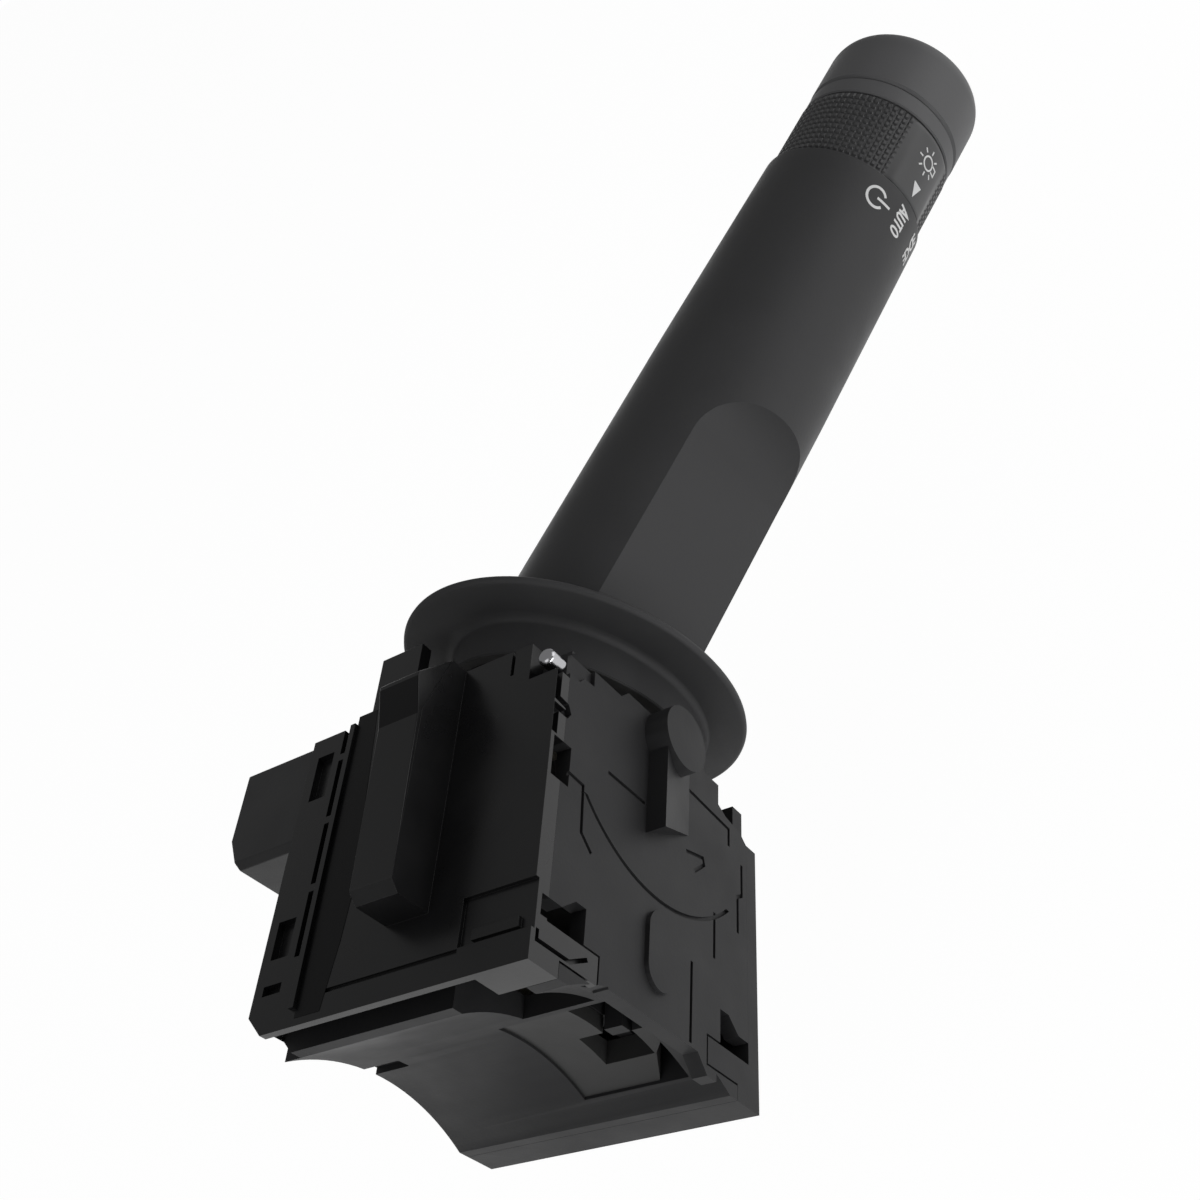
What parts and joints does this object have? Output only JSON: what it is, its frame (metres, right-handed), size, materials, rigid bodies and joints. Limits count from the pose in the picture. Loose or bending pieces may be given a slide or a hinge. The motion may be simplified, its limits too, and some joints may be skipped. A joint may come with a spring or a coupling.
{
  "type": "combination stalk switch",
  "caption": "Steering-column stalk switch: boxed housing with a round seat, guide rails and plug socket, and a round lever with an oval collar, a flat and a turning light ring.",
  "frame": {"origin": "crown of the round seat under the housing, at the housing's middle", "axes": "+X from the column outwards along the housing, -Y faces the driver, +Y is the plug side, +Z faces the front cover"},
  "size_m": [0.1546, 0.1068, 0.0554],
  "materials": {
    "housing_plastic": "fine-grained moulded, satin where it slides",
    "stalk_plastic": "soft-touch satin",
    "ring_plastic": "knurled satin",
    "cap_plastic": "satin",
    "pale_plastic": "natural moulded",
    "inner_plastic": "natural moulded",
    "board": "glass-fibre laminate with solder mask",
    "steel": "ground",
    "spring_steel": "drawn wire and strip",
    "contact_metal": "tinned brass"
  },
  "bodies": {
    "housing": {"main_housing": "housing_plastic", "front_cover": "housing_plastic", "rear_cover": "housing_plastic", "connector_shroud": "housing_plastic", "terminal_block": "inner_plastic", "terminal_pins": "contact_metal", "circuit_board": "board", "contact_pads": "contact_metal", "detent_block": "inner_plastic", "cancel_guide": "pale_plastic", "cancel_pivot_pin": "steel", "turn_pivot_pins": "steel", "dowel_pin": "steel"},
    "carrier": {"turn_carrier": "inner_plastic", "beam_pivot_pin": "steel"},
    "lever": {"lever_root": "inner_plastic", "collar": "housing_plastic", "stalk_tube": "stalk_plastic", "stalk_core": "housing_plastic", "ring_contact_plate": "contact_metal", "ring_detent_spring": "spring_steel", "spacer_band": "ring_plastic", "end_cap": "cap_plastic", "turn_detent_spring": "spring_steel"},
    "ring": {"light_ring": "ring_plastic", "ring_wiper": "contact_metal"},
    "plunger": {"turn_detent_plunger": "inner_plastic"},
    "slider": {"turn_slider": "pale_plastic", "turn_wipers": "contact_metal"},
    "finger": {"cancel_finger": "pale_plastic"}
  },
  "joints": [
    {"name": "turn_signal", "type": "hinge", "parent": "housing", "child": "carrier", "pos_m": [0.0344, 0, 0], "axis": [0, 1, 0], "range_deg": [-10, 10]},
    {"name": "beam_change", "type": "hinge", "parent": "carrier", "child": "lever", "pos_m": [0.0344, 0.0055, 0], "axis": [0, 0, 1], "range_deg": [-4, 4], "stiffness_Nm_per_rad": 3},
    {"name": "light_switch", "type": "hinge", "parent": "lever", "child": "ring", "pos_m": [0.12725, -0.05342, 0.00269], "axis": [0.8441, -0.5357, 0.0244], "range_deg": [-24, 48]},
    {"name": "turn_detent", "type": "slide", "parent": "lever", "child": "plunger", "axis": [1, 0, 0], "range_m": [0, 0.0015], "stiffness_N_per_m": 1500, "springref_m": -0.001},
    {"name": "contact_slide", "type": "slide", "parent": "housing", "child": "slider", "axis": [0, 0, 1], "range_m": [-0.00252, 0.00252]},
    {"name": "self_cancel", "type": "hinge", "parent": "housing", "child": "finger", "pos_m": [0.008, -0.0127, -0.003], "axis": [0, 1, 0], "range_deg": [-12, 12], "stiffness_Nm_per_rad": 0.01}
  ],
  "couplings": [
    {"joint": "contact_slide", "follows": "turn_signal", "m_per_rad": 0.0144}
  ]
}
